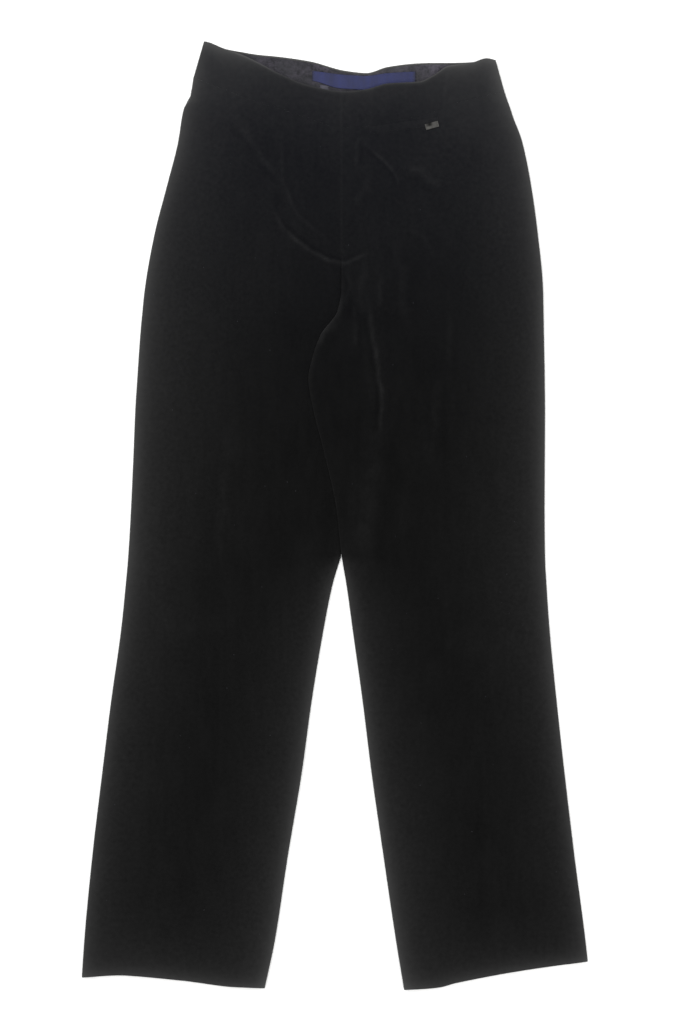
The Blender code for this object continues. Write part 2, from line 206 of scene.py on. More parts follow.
cloth = {
    "wall": 1.4 * mm, "bandWall": 1.6 * mm, "seamGap": 0.005 * mm, "layGap": 0.3 * mm,
    "facingWall": 0.9 * mm, "tapeWall": 0.5 * mm, "weltWall": 0.7 * mm, "trimGap": 0.06 * mm,
    "legLoft": 4.7 * mm, "seatLoft": 5.0 * mm, "waistLoft": 6.4 * mm,
    "sidePuff": 1.0 * mm, "puffWidth": 22 * mm, "pressed": 3.2 * mm, "foldRadius": 2.6 * mm,
    "rollRadius": 1.4 * mm, "rollDepth": 0.45 * mm,      # how a sewn edge turns under
    "seamFlat": 0.4 * mm,                                # a pressed seam misses this much of the turn
    "hemDepth": 35 * mm, "hemStep": 0.35 * mm,           # the turned-up hem, felt through the velvet
    "overlapMargin": 6 * mm, "bridge": 22 * mm, "fadeAcross": 30 * mm, "fadeAlong": 50 * mm,
    "bandLevel": 35 * mm, "legPuffFade": 100 * mm,       # below the waist's top; below the apex
    "calmLevel": 30 * mm, "calmFade": 80 * mm,           # the waistband is interfaced and lies smooth
    "foldSteps": 8, "sharpDegrees": 60,
    "columnLean": 0.3,                                   # columns stand closer towards the centre
    "hemBend": 0.3,                                      # rows bend with the hem this share up to the apex
    "backSeamShift": 0.6 * mm, "shiftFade": 0.04,        # the back's centre seam lies aside of the front's
}
# levels up the legs and seat, and how long the zones between them count as when rows are set out
apex, crotch, seat, waistLevel = 0.490, 0.792, 0.900, 1.030
zoneLengths = (apex, crotch - apex, 0.200)
closeSteps = np.array([0.0, 0.12, 0.45, 0.95, 1.6, 2.4]) * mm  # rows where an edge turns under

# The outline's tables, in mm
outlineColumns = ("level", "rightSide", "rightInner", "leftInner", "leftSide")
outlineRows = np.array((
    (0, -294, -86.8, 70.6, 281.5), (55, -290.4, -75.1, 61.6, 275.7),
    (150, -281.4, -60.5, 47.5, 263.3), (245, -270.1, -44.6, 33.9, 252),
    (327, -259.9, -33.3, 23.7, 243), (408, -248.6, -19.8, 12.4, 235),
    (455, -243.8, -10.5, 6, 231.8), (490, -240.7, -0.6, 0.2, 230),
    (545, -237.5, 11, -6, 229.5), (612, -234.5, 29, -20.8, 229.8),
    (654, -232.8, 42, -31.5, 230), (690, -230.5, 44.5, -37.3, 229.7),
    (713, -229, 40, -32.8, 229.3), (739, -227.1, 34, -23.5, 228.8),
    (766, -224.7, 23.5, -4.5, 228.3), (792, -221.9, 0, 0, 227.7),
    (852, -211.3, 0, 0, 222), (909, -196.6, 0, 0, 214.1),
    (958, -184.2, 0, 0, 204), (987, -179.7, 0, 0, 193.2),
    (996, -177.4, 0, 0, 190.4), (1005, -171.5, 0, 0, 187),
    (1031, -166.8, 0, 0, 179),
)) / 1000
waistColumns = ("across", "backTop", "frontTop", "frontSeam", "backSeam")
waistRows = np.array((
    (-166.8, 1071.2, 1071.2, 1030.6, 1030.6), (-153.9, 1070.1, 1070.1, 1024, 1026.2),
    (-132.2, 1062.5, 1062, 1016.3, 1022.5), (-113, 1058.8, 1055.5, 1008.5, 1019),
    (-93.8, 1055.7, 1046.4, 1001.8, 1016), (-71.2, 1053.5, 1034.4, 995.1, 1013.5),
    (-36.2, 1048.4, 1020.4, 983, 1008.5), (4.5, 1037.6, 1013.7, 972.4, 998.5),
    (28.3, 1035.1, 1016.3, 974.6, 995.5), (52, 1041.9, 1022.7, 979.7, 1000.5),
    (88, 1046.1, 1025, 985.5, 1006), (104, 1046.5, 1032.2, 990.3, 1006.6),
    (121, 1046.5, 1042.8, 998, 1007), (147.5, 1047.3, 1046.4, 1005.5, 1008.5),
    (163.9, 1051.1, 1051.1, 1009, 1011), (174, 1049.1, 1049.1, 1011.3, 1012.4),
    (184.2, 1048, 1048, 1013.6, 1013.6),
)) / 1000
bandSides = {"right": (-0.1667, -0.1552), "left": (0.1841, 0.1743)}
panelCorner = {"right": (-0.1668, 1.0306), "left": (0.1842, 1.0136)}
centreFrontTop = 0.0045
hems = {
    "right": ((-0.2927, 0.0140), (-0.2420, 0.0160), (-0.1785, 0.0102), (-0.1243, 0.0034), (-0.0866, 0.0018)),
    "left": ((0.2785, 0.0322), (0.2034, 0.0215), (0.1288, 0.0075), (0.1120, 0.0030), (0.0706, 0.0000)),
}


def smoothCurve(keys, values):
    # cubic between rows; a row's slope is the harmonic mean of the slopes beside it, or level where they turn
    steps = np.diff(values) / np.diff(keys)
    before, after = steps[:-1], steps[1:]
    sameWay = before * after > 0
    mean = 2 * before * after / np.where(sameWay, before + after, 1.0)
    slopes = np.concatenate([steps[:1], np.where(sameWay, mean, 0.0), steps[-1:]])

    def at(key):
        key = np.clip(np.asarray(key, dtype=float), keys[0], keys[-1])
        row = np.clip(np.searchsorted(keys, key) - 1, 0, len(keys) - 2)
        span = keys[row + 1] - keys[row]
        t = (key - keys[row]) / span
        start = values[row] * (1 + 2 * t) * (1 - t) ** 2 + slopes[row] * span * t * (1 - t) ** 2
        end = values[row + 1] * (3 - 2 * t) * t ** 2 - slopes[row + 1] * span * t ** 2 * (1 - t)
        return start + end

    return at


def ease(t):
    # 0 up to 0, 1 from 1, an S between
    t = np.clip(t, 0.0, 1.0)
    return t * t * (3 - 2 * t)


def bell(t):
    # 1 in the middle, falling away softly on both sides
    return np.exp(-t ** 2)


def beside(*parts):
    # the parts side by side along a new last axis
    return np.stack(np.broadcast_arrays(*parts), axis=-1)


bothSides = ("right", "left")
outline = dict(zip(outlineColumns, outlineRows.T))
waistTable = dict(zip(waistColumns, waistRows.T))
sideAt = {side: smoothCurve(outline["level"], outline[side + "Side"]) for side in bothSides}
innerAt = {side: smoothCurve(outline["level"], outline[side + "Inner"]) for side in bothSides}
waistAt = {name: smoothCurve(waistTable["across"], waistTable[name]) for name in waistColumns[1:]}
# a hem's level by the distance from the centre front, whichever side it is on
hemCurves = {side: smoothCurve(*np.abs(np.array(hems[side]))[::-1].T) for side in bothSides}
# from the garment's own measures to the frame
shift = np.array([sideAt["right"](hems["right"][0][1]) - cadLow[0], -cadLow[1], 0.0])


def namedRows(columns, rows):
    # each row as a dictionary by the columns' names
    return [dict(zip(columns, row)) for row in rows]


# Creases, each along its places, in mm. light is the painted highlight along it, over lightWidth;
# shade is the side, 1 left or -1 right of its run, that turns from the light and takes a faint painted shade.
creaseColumns = ("side", "width", "rise", "light", "lightWidth", "shade", "places")
creases = namedRows(creaseColumns, (
    ("right", 7, 1.6, 0.038, 3.2, -1,  # long fold from the right hip
     ((-133, 1002), (-113, 974.1), (-96.2, 948.1), (-84.6, 933), (-64, 909))),
    ("both", 6, 2, 0.085, 2, 1,  # strong fold under the fly, right
     ((-79, 887), (-65.5, 858.8), (-50.9, 846.4), (-32.8, 832.8), (-14.7, 823.8), (2.8, 820.4),
      (14.7, 823.8), (27, 830.5), (37, 838))),
    ("right", 3.6, 0.6, 0.030, 1.8, 1,  # edge of the fly facing
     ((-68.9, 979), (-67, 940), (-65.5, 911.9), (-58.8, 895), (-50, 876), (-32.8, 860), (-16, 847),
      (0, 838.5))),
    ("left", 4, 0.7, 0.050, 2.4, -1,  # curved crease by the fly, upright part
     ((16.5, 928), (16.8, 940), (17.6, 950), (21.5, 959), (27, 957))),
    ("left", 4.5, 1.1, 0.080, 1.5, -1,  # curved crease by the fly, long part
     ((20, 959), (29, 953), (39.5, 942.4), (53.1, 930), (62.2, 917.6), (64.4, 904))),
    ("left", 6.5, 1.3, 0.046, 4.4, -1,  # short crease, left hip
     ((71, 930), (84, 926.2), (92.7, 922.1), (103, 911), (115, 905))),
    ("left", 5.5, 0.8, 0.030, 4, 1,  # short crease by the fly, left
     ((11, 886), (20, 895), (28.5, 906), (35, 919))),
    ("left", 6, 1, 0.075, 2.3, -1,  # right leg's fold felt through the left
     ((29, 785), (32.8, 755.3), (37, 727.7), (42, 696), (45.2, 669), (44.7, 642), (41.5, 615))),
    ("left", 12, 0.9, 0.026, 9, 1,  # lower end of that fold
     ((43, 650), (36.5, 597.8), (34, 560.7), (30, 520), (27, 460))),
    ("left", 3.4, 0.6, 0.036, 1.8, 1,  # short upright crease below the crotch
     ((14, 775), (15.5, 750), (16.2, 723))),
    ("left", 7, 0.3, 0.060, 6.5, 1,  # wisp along the left leg's fold
     ((-1, 790), (-7, 770), (-15, 754), (-22.2, 740), (-26.2, 722))),
    ("left", 4, 0.4, 0.028, 2.2, 1,  # first wisp under the crotch
     ((49, 808), (43, 796), (44, 779), (40, 763))),
    ("left", 3.6, 0.4, 0.036, 1.9, -1,  # second wisp under the crotch
     ((6, 812), (10, 795), (5, 780), (8.5, 766))),
    ("left", 4.5, 0.5, 0.020, 3, -1,  # wisp under the left hip
     ((74, 856.6), (87, 854.5), (98.3, 839.6), (101, 825))),
    ("left", 9, 1, 0.024, 5.5, 1,  # slack under the left hip
     ((56, 860), (64, 830), (69, 790), (71.5, 740))),
    ("left", 7, 0.8, 0.026, 4.5, -1,  # slack beside the crotch
     ((23, 835), (25, 812), (21.5, 785), (25.5, 755))),
    ("left", 8, 0.6, 0.020, 4, 1, ((109, 705), (106, 656), (102, 590))),  # streak, left thigh
    ("left", 6, 0.5, 0.018, 3, 1, ((121.5, 766), (122.2, 700))),  # second streak, left hip
    ("right", 9, 0.7, 0.020, 5, -1, ((-125.5, 650), (-132, 570), (-140, 470))),  # streak, right thigh
    ("right", 14, 0.9, 0.010, 9, 1, ((-215, 430), (-170, 408), (-115, 415))),  # slack, right knee
    ("left", 14, 0.9, 0.010, 9, 1, ((205, 400), (150, 385), (98, 401))),  # slack, left knee
    ("right", 16, 1.1, 0.008, 9, -1,  # slack above the right hem
     ((-206, 10), (-201, 110), (-190, 230))),
    ("left", 16, 1.1, 0.008, 9, 1, ((183, 15), (175, 125), (168, 250))),  # slack above the left hem
    ("left", 3, 0.5, 0.045, 1.8, -1,  # crease in the left waistband
     ((120, 1040), (116.5, 1013), (115, 986))),
))
# The same kind on the back, which lifts off the floor a little there
backCreases = namedRows(creaseColumns, (
    ("right", 9, 0.8, 0.050, 4, 1, ((-150, 860), (-100, 830), (-45, 820))),  # seat, right
    ("left", 9, 0.8, 0.050, 4, -1, ((142, 850), (115, 838), (75, 835))),  # seat, left
    ("right", 12, 0.9, 0.040, 5, 1, ((-205, 435), (-150, 415), (-75, 425))),  # back of the right knee
    ("left", 12, 0.9, 0.040, 5, -1, ((200, 410), (140, 423), (80, 410))),  # back of the left knee
    ("right", 13, 0.7, 0.030, 6, 1, ((-175, 330), (-182, 210), (-190, 100))),  # right calf
    ("left", 13, 0.7, 0.030, 6, 1, ((160, 310), (150, 200), (156, 90))),  # left calf
))
creaseTables = {"front": creases, "back": backCreases}
creaseLook = {
    "samples": 33, "reach": 3.2,                          # reach in widths
    "waver": ((0.22, 1.0), (0.16, 2.3)),                  # shares of lightWidth, and turns
    "waverLength": 7.9 * mm, "waverStart": 70,
    "uneven": ((0.28, 6.1 * mm, 90), (0.18, 3.3 * mm, 0)),  # shares, lengths and starts
    "riseSteady": 0.7,                                    # this share of the rise isn't uneven
    "fade": 0.25,                                         # share of the run that dies out at each end
    "dark": 0.35, "darkFrom": 2.2, "darkWidth": 1.4,      # the painted shade beside, in light widths
}


def smoothPath(places, count):
    # a path through the places, read at even steps between the first and the last
    places = np.array(places)
    keys = np.concatenate([[0.0], np.cumsum(np.hypot(*np.diff(places, axis=0).T))])
    at = np.linspace(0.0, keys[-1], count)
    return np.column_stack([smoothCurve(keys, places[:, 0])(at), smoothCurve(keys, places[:, 1])(at)])


def creaseFields(side, x, y, layer="front"):
    # Each crease is a bell across a path that wavers, uneven along it and dying out towards both ends;
    # its light is a painted highlight, a narrower bell with a faint painted shade beside it.
    look = creaseLook
    rise = np.zeros(x.shape)
    light = np.zeros(x.shape)
    for crease in creaseTables[layer]:
        if crease["side"] not in (side, "both"):
            continue
        width, lightWidth = crease["width"] * mm, crease["lightWidth"] * mm
        path = smoothPath(np.array(crease["places"]) * mm, look["samples"])
        reach = look["reach"] * max(width, lightWidth)
        low, high = path.min(axis=0) - reach, path.max(axis=0) + reach
        near = (x > low[0]) & (x < high[0]) & (y > low[1]) & (y < high[1])
        if not near.any():
            continue
        step = np.diff(path, axis=0)
        fromX = x[near][:, None] - path[:-1, 0]
        fromY = y[near][:, None] - path[:-1, 1]
        t = np.clip((fromX * step[:, 0] + fromY * step[:, 1]) / (step ** 2).sum(axis=1), 0, 1)
        offX, offY = fromX - t * step[:, 0], fromY - t * step[:, 1]
        gaps = np.hypot(offX, offY)
        nearest = gaps.argmin(axis=1)
        pick = (np.arange(len(nearest)), nearest)
        along = (nearest + t[pick]) / len(step)
        metres = along * np.hypot(*step.T).sum()
        turn = metres / look["waverLength"] + path[0, 0] * look["waverStart"]
        waver = lightWidth * sum(share * np.sin(times * turn) for share, times in look["waver"])
        signed = gaps[pick] * np.sign(step[nearest, 0] * offY[pick] - step[nearest, 1] * offX[pick]) + waver
        gap, shaded = np.abs(signed), signed * crease["shade"]
        fade = ease(np.minimum(along, 1 - along) / look["fade"])
        uneven = 1 + sum(share * np.sin(metres / length + path[0, 0] * start)
                         for share, length, start in look["uneven"])
        steady = look["riseSteady"] + (1 - look["riseSteady"]) * uneven
        rise[near] += crease["rise"] * mm * bell(gap / width) * fade * steady
        dark = look["dark"] * bell((shaded / lightWidth - look["darkFrom"]) / look["darkWidth"])
        light[near] += crease["light"] * (bell(gap / lightWidth) * uneven - dark) * fade
    return rise, light


# Soft waves of a garment smoothed by hand: long, low and not quite parallel
waves = namedRows(("along", "length", "phase", "height"), (
    ((0.25, 1.0), 210 * mm, 0.7, 0.50 * mm),
    ((1.0, 0.18), 95 * mm, 2.1, 0.42 * mm),
    ((-0.75, 0.66), 130 * mm, 4.0, 0.35 * mm),
    ((0.95, -0.42), 57 * mm, 1.3, 0.20 * mm),
    ((0.50, 0.87), 37 * mm, 5.2, 0.10 * mm),
))
waveTurn = 0.4 * mm  # past this height crests and hollows differ in full
# Seams draw the cloth into short puckers square to them; each seam has its share of the height
puckers = {"height": 0.20 * mm, "length": 11 * mm, "reach": 8 * mm,
           "swell": (0.55, 0.45, 5.3), "drift": (1.6, 3.7),  # uneven in height and in length
           "waistSmooth": 3 * mm, "centreLift": 4 * mm,
           "share": {"side": 1.0, "centre": 0.8, "waist": 0.9, "hem": 0.6}}


def waveHeight(x, y):
    # a sum of waves, its hollows half as deep as its crests, because they meet the layer below
    total = np.zeros(np.broadcast(x, y).shape)
    for wave in waves:
        direction = np.array(wave["along"]) / np.hypot(*wave["along"])
        metres = x * direction[0] + y * direction[1]
        total += wave["height"] * np.sin(2 * np.pi * metres / wave["length"] + wave["phase"])
    return total * (0.75 + 0.25 * np.tanh(total / waveTurn))


def puckerHeight(side, x, y):
    # waves that run along each seam, uneven in length and height, and fade away from it
    seams = {
        "side": (x - sideAt[side](y), y),
        "centre": (x - innerAt[side](y), y + puckers["centreLift"]),
        "waist": (waistAt["frontSeam"](x) - y, x),
        "hem": (y - hemCurves[side](np.abs(x)) - cloth["hemDepth"], x),
    }
    total = np.zeros(x.shape)
    steady, swell, swellLength = puckers["swell"]
    drift, driftLength = puckers["drift"]
    for name, (gap, along) in seams.items():
        turn = 2 * np.pi * along / puckers["length"]
        size = steady + swell * np.sin(turn / swellLength + len(name))
        wave = np.sin(turn + drift * np.sin(turn / driftLength))
        # the waistband lies smooth along its seam
        smooth = ease(gap / puckers["waistSmooth"]) if name == "waist" else 1.0
        total += puckers["share"][name] * size * wave * smooth * bell(gap / puckers["reach"])
    return puckers["height"] * total


def overlap(x, y):
    # 1 where the left leg lies over the right one, fading to 0 round about
    level = np.clip(y, apex, crotch)
    outside = np.maximum(innerAt["left"](level) - x - cloth["overlapMargin"],
                         x - innerAt["right"](level) - cloth["bridge"])
    across = np.maximum(outside, 0) / cloth["fadeAcross"]
    along = np.maximum(np.maximum(y - crotch, apex - y), 0) / cloth["fadeAlong"]
    return 1 - ease(np.hypot(across, along))


def loft(x, y):
    # both layers where the garment lies free: fuller at the waist, the sides and the inner legs
    base = cloth["legLoft"] + (cloth["seatLoft"] - cloth["legLoft"]) * ease((y - apex) / (seat - apex))
    upSeat = (y - seat) / (waistLevel - cloth["bandLevel"] - seat)
    base = base + (cloth["waistLoft"] - cloth["seatLoft"]) * ease(upSeat)
    sides, inner = (sum(bell((x - at[side](y)) / cloth["puffWidth"]) for side in bothSides)
                    for at in (sideAt, innerAt))
    puff = sides + np.minimum(inner, 1.0) * ease((apex - y) / cloth["legPuffFade"])
    return base + cloth["sidePuff"] * puff


def underside(side, x, y):
    # the back's lower face: on the floor, but the left leg goes up over the pressed right one
    if side == "right":
        return np.zeros(np.broadcast(x, y).shape)
    return (cloth["pressed"] + cloth["layGap"]) * overlap(x, y)


def topside(side, x, y):
    # the front's outer face without creases
    pressed = overlap(x, y)
    calm = ease((waistLevel - cloth["calmLevel"] - y) / cloth["calmFade"])
    free = loft(x, y) + waveHeight(x, y) * calm
    return underside(side, x, y) + pressed * cloth["pressed"] + (1 - pressed) * free


def halfGap(side):
    # half the seam's gap, away from the centre line
    return cloth["seamGap"] / 2 * (-1 if side == "right" else 1)


def bow(points):
    # how far an edge bends from the straight line between its ends, along u from 0 to 1
    points = np.array(points)
    share = (points[:, 0] - points[0, 0]) / (points[-1, 0] - points[0, 0])
    return smoothCurve(share, points[:, 1] - points[0, 1] - share * (points[-1, 1] - points[0, 1]))


def panelPlan(side, layer, u, v):
    # straight rows from the side to the centre, bent at the foot like the hem and at the head like the seam;
    # v is 0 at the hem, 1 at the apex, 2 at the crotch, 3 at the waist seam
    seam, corner, fade = waistAt[layer + "Seam"], panelCorner[side], cloth["shiftFade"]
    centreTop = float(seam(0.0)) - cloth["seamGap"] / 2
    atSide, atCentre = (np.interp(v, (0, 1, 2, 3), (hem[1], apex, crotch, top))
                        for hem, top in ((hems[side][0], corner[1]), (hems[side][-1], centreTop)))
    moved = (cloth["backSeamShift"] if layer == "back" else 0.0) * ease((v - 2 + fade) / fade)
    x = (1 - u) * sideAt[side](atSide) + u * (innerAt[side](atCentre) + halfGap(side) + moved)
    seamBend = seam(corner[0] * (1 - u)) - cloth["seamGap"] / 2 - ((1 - u) * corner[1] + u * centreTop)
    bend = bow(hems[side])(u) * (1 - ease(v / cloth["hemBend"])) + seamBend * ease(v - 2)
    return beside(x, (1 - u) * atSide + u * atCentre + bend)


def bandPlan(side, layer, u, t):
    # straight lines from the waist seam, t 0, to the top edge, t 1
    atSeam, atTop = bandSides[side]
    centreTop = centreFrontTop if layer == "front" else 0.0
    lowX = atSeam * (1 - u) + halfGap(side) * u
    highX = atTop * (1 - u) + (centreTop + halfGap(side)) * u
    lowY = waistAt[layer + "Seam"](lowX) + cloth["seamGap"] / 2
    highY = waistAt[layer + "Top"](highX)
    return beside((1 - t) * lowX + t * highX, (1 - t) * lowY + t * highY)


def roll(distance):
    # a soft turn, a parabola: full depth at the edge, none past the roll's radius
    return cloth["rollDepth"] * (1 - np.clip(distance / cloth["rollRadius"], 0, 1)) ** 2


def endSteps(length, spacing):
    # even steps along a length, with close ones where both ends turn under
    room = closeSteps[-1] + 0.4 * mm
    middle = np.linspace(0, 1, max(int(length / spacing), 2) + 1)[1:-1] * (length - 2 * room) + room
    return np.concatenate([closeSteps, middle, length - closeSteps[::-1]])


def shellFaces(side, layer, rows, look, plan, curl, edgeGap, extra):
    # Outer and inner faces of one piece as grids. Along a row the folded ends are quarter rounds of
    # foldRadius, pressed to parabolas where one leg lies on the other; heights come from the underside
    # or the topside, with extra for the creases.
    v, wall = rows[:, None], cloth[look["wall"]]
    ends = plan(side, layer, np.array([[0.0, 1.0]]), v * np.ones((1, 2)))
    width = np.hypot(*(ends[:, 1] - ends[:, 0]).T)[:, None]
    turn = np.linspace(0, np.pi / 2, cloth["foldSteps"] + 1)[None, :]
    onFold = cloth["foldRadius"] * (1 - np.cos(turn)) / width
    thick = wall * np.cos(turn) / width
    start = cloth["foldRadius"] / width
    count = int(width.max() / look[layer + "Spacing"])
    even = np.linspace(0, 1, count + 2)[None, 1:-1]
    middle = start + (1 - 2 * start) * (even + cloth["columnLean"] * even * (1 - even))
    bend = curl(v)
    outerU = np.hstack([onFold, middle, (1 - onFold)[:, ::-1]])
    innerU = np.hstack([onFold + thick, middle, (1 - onFold - bend * thick)[:, ::-1]])
    blank = np.zeros((len(rows), count + cloth["foldSteps"] + 1))
    sideDrop = np.hstack([np.ones((len(rows), 1)) * (1 - np.sin(turn)), blank])
    pressed = overlap(ends[:, 1:, 0], ends[:, 1:, 1])
    drop = (1 - pressed) * (1 - np.sin(turn)) + pressed * np.cos(turn) ** 2
    centreDrop = np.hstack([blank, bend * drop[:, ::-1]])
    edge = (underside(side, ends[..., 0], ends[..., 1]) + topside(side, ends[..., 0], ends[..., 1])) / 2
    edge = edge + cloth["seamGap"] / 2 * (1 if layer == "front" else -1)
    faces = []
    for u, inset in ((outerU, 0.0), (innerU, wall)):
        place = plan(side, layer, u, v * np.ones(u.shape))
        x, y = place[..., 0], place[..., 1]
        if layer == "front":
            flat = topside(side, x, y) - inset + extra(side, layer, x, y)
        else:
            flat = underside(side, x, y) + inset + extra(side, layer, x, y)
        if inset == 0.0 and layer == "front":
            seamward = (1 - u) * width + cloth["seamFlat"] + bend  # a folded edge is a metre out of reach
            flat = flat - np.maximum(roll(seamward), roll(edgeGap(u, v)))
        height = flat + sideDrop * (edge[:, :1] - flat) + centreDrop * (edge[:, 1:] - flat)
        faces.append(beside(x, y, height))
    return faces


def seen(faces):
    # where the outer face's points lie
    return faces[0][..., 0], faces[0][..., 1]


def addPiece(name, points, quads, material):
    # one smooth mesh from places in the garment's measures, riding on its body
    mesh = bpy.data.meshes.new(name)
    mesh.from_pydata((points - shift).tolist(), [], quads)
    mesh.shade_smooth()
    mesh.materials.append(material)
    piece = addObject(name, mesh)
    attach(piece, "root")
    return piece


def makeShell(name, node, faces, material, field, innerField=0.05, fieldName="napAndLight"):
    # join two equal grids round their rim into one closed wall, faces out; its material reads the field,
    # which is one value on the inner face
    rows, columns = faces[0].shape[:2]
    index = np.arange(rows * columns).reshape(rows, columns)
    below = index + rows * columns
    rim = np.concatenate([index[0, :], index[1:, -1], index[-1, -2::-1], index[-2:0:-1, 0]])
    after = np.roll(rim, -1)
    quads = np.concatenate([quad.reshape(-1, 4) for quad in (
        beside(index[:-1, :-1], index[:-1, 1:], index[1:, 1:], index[1:, :-1]),
        beside(below[:-1, :-1], below[1:, :-1], below[1:, 1:], below[:-1, 1:]),
        beside(after, rim, rim + rows * columns, after + rows * columns))])
    points = np.concatenate([face.reshape(-1, 3) for face in faces])
    a, b, c, d = (points[quads[:, k]] - shift for k in range(4))
    if (np.cross(c - a, d - b) * (a + b + c + d)).sum() < 0:  # its volume: negative if the faces look in
        quads = quads[:, ::-1]
    piece = addPiece(name, points, quads.tolist(), material)
    piece.data.set_sharp_from_angle(angle=np.radians(cloth["sharpDegrees"]))
    layer = piece.data.attributes.new(fieldName, "FLOAT", "POINT")
    layer.data.foreach_set("value", np.concatenate([field.ravel(), np.full(field.size, innerField)]))
    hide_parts(node)
    return piece


# Velvet

velvetLook = {
    "deep": "#060606", "coolDeep": "#05060c", "open": "#3b3b3b",
    "coolFrom": 0.0, "coolTo": 0.52,  # metres up the garment from its middle
    # how the pile's openness varies: size of the marks in mm, detail, share; real tufts are finer than the
    # grain, which is drawn as coarse as the picture can show
    "marks": {"grain": (0.6, 1.0, 0.10), "stroke": (9.0, 4.0, 0.040), "patch": (46.0, 3.0, 0.035)},
    "strokeStretch": 0.22,                           # strokes run along the legs
    "crush": (4.5, 4.0, 1.0), "crushLimit": 0.15,    # crushed pile breaks pale places up
    "tuftMm": 0.45, "tuftDepthMm": 0.15, "leanMm": 60.0, "leanDepthMm": 3.0,
    "roughness": 0.96, "specular": 0.02,
    "sheen": 0.75, "sheenRoughness": 0.32, "sheenTint": "#c9c9c9",
    "lint": "#3a3a3e", "lintMm": 17.0, "lintShare": 0.020,  # flecks this share of the space between them
}


def makeVelvet():
    # cut-pile velvet: swallows light looking straight in, pale where it turns away; its field paints light
    # into the pile's colour
    look = velvetLook
    material, tree, spot = newMaterial("velvetCutPile")
    napAndLight = addField(tree, "napAndLight")
    brushed = addNode(tree, "Mapping", {"Vector": spot, "Scale": (1.0, look["strokeStretch"], 1.0)})
    tone = napAndLight
    for name, mark in look["marks"].items():
        tone = addMath(tree, "ADD", tone, addSwing(tree, brushed if name == "stroke" else spot, *mark))
    crushed = addSwing(tree, spot, *look["crush"])
    # crushed places break up the painted light, up to crushLimit of it
    pale = addMath(tree, "MINIMUM", napAndLight, look["crushLimit"])
    openness = addMath(tree, "MAXIMUM", addMath(tree, "MULTIPLY_ADD", pale, crushed, tone), 0.0)
    # deep in the pile the black grows cooler towards the waist, with the square of the way up
    upwards = addNode(tree, "SeparateXYZ", {"Vector": spot}, "Y")
    fromTo = {"From Min": look["coolFrom"], "From Max": look["coolTo"]}
    cool = addNode(tree, "MapRange", {"Value": upwards, **fromTo})
    deep = addMix(tree, addMath(tree, "MULTIPLY", cool, cool), look["deep"], look["coolDeep"])
    # painted light at a turned edge may go past the open colour, so the mix isn't held at 1
    pileColour = addMix(tree, openness, deep, look["open"], clamp_factor=False)
    cells = addNode(tree, "TexVoronoi", {"Vector": spot, "Scale": 1 / (look["lintMm"] * mm)}, "Distance")
    colour = addMix(tree, addMath(tree, "LESS_THAN", cells, look["lintShare"]), pileColour, look["lint"])
    # the pile leans one way here and another there, and its tufts stand up between fine hollows
    lean = addBump(tree, addNoise(tree, spot, look["leanMm"], 2.0), look["leanDepthMm"], 1.0)
    tufts = addBump(tree, addNoise(tree, spot, look["tuftMm"], 0.0), look["tuftDepthMm"], 1.0, Normal=lean)
    sheen = {"Sheen Weight": look["sheen"], "Sheen Roughness": look["sheenRoughness"],
             "Sheen Tint": linearColour(look["sheenTint"])}
    return finished(material, colour, tufts, look["roughness"], look["specular"], sheen)


velvet = makeVelvet()


# Panels

napAndLightLook = {
    "leg": 0.024, "shin": -0.014, "shinLevel": 0.450, "shinFade": 0.200,
    # Painted light along the outline, for the glare round it and the sheen of its rounded edges, in two
    # bands:
    # how much, over what width, less between the legs where they are closer than a gap, more or less by a
    # share at the inner leg and at the left side; the broad one is mostly the nearest edge's, by its power
    "bands": ({"light": 0.24, "width": 61 * mm, "gap": 40 * mm, "inner": 1.2, "left": 0.82, "power": 3},
              {"light": 0.52, "width": 7.3 * mm, "gap": 6 * mm, "inner": 1.0, "left": 1.12, "power": 1}),
    "hem": 0.75, "top": 1.30,
    "sideAtHem": 0.72, "sideFull": 0.700,  # along the sides less so down the legs, below this level
    # painted light along the centre seam and the waist seam, against the shade of their grooves
    "seam": 0.034, "seamWidth": 1.3 * mm,
    "waistSeam": 0.008, "waistSeamWidth": 1.5 * mm,
    "fold": 0.055, "foldWidth": 3.2 * mm, "foldIn": 1.5 * mm,      # painted highlight along the left leg's fold, on the right leg
    "foldLow": 0.20, "foldLevel": 0.620, "foldFade": 0.140,        # weaker below this level
    "shadowLift": 0.020, "besideWidth": 3.0 * mm,                  # and painted light beside it on the right leg, lifting the fold's shadow
    "foldStart": 60 * mm, "foldEnd": 40 * mm, "foldPast": 20 * mm,
}
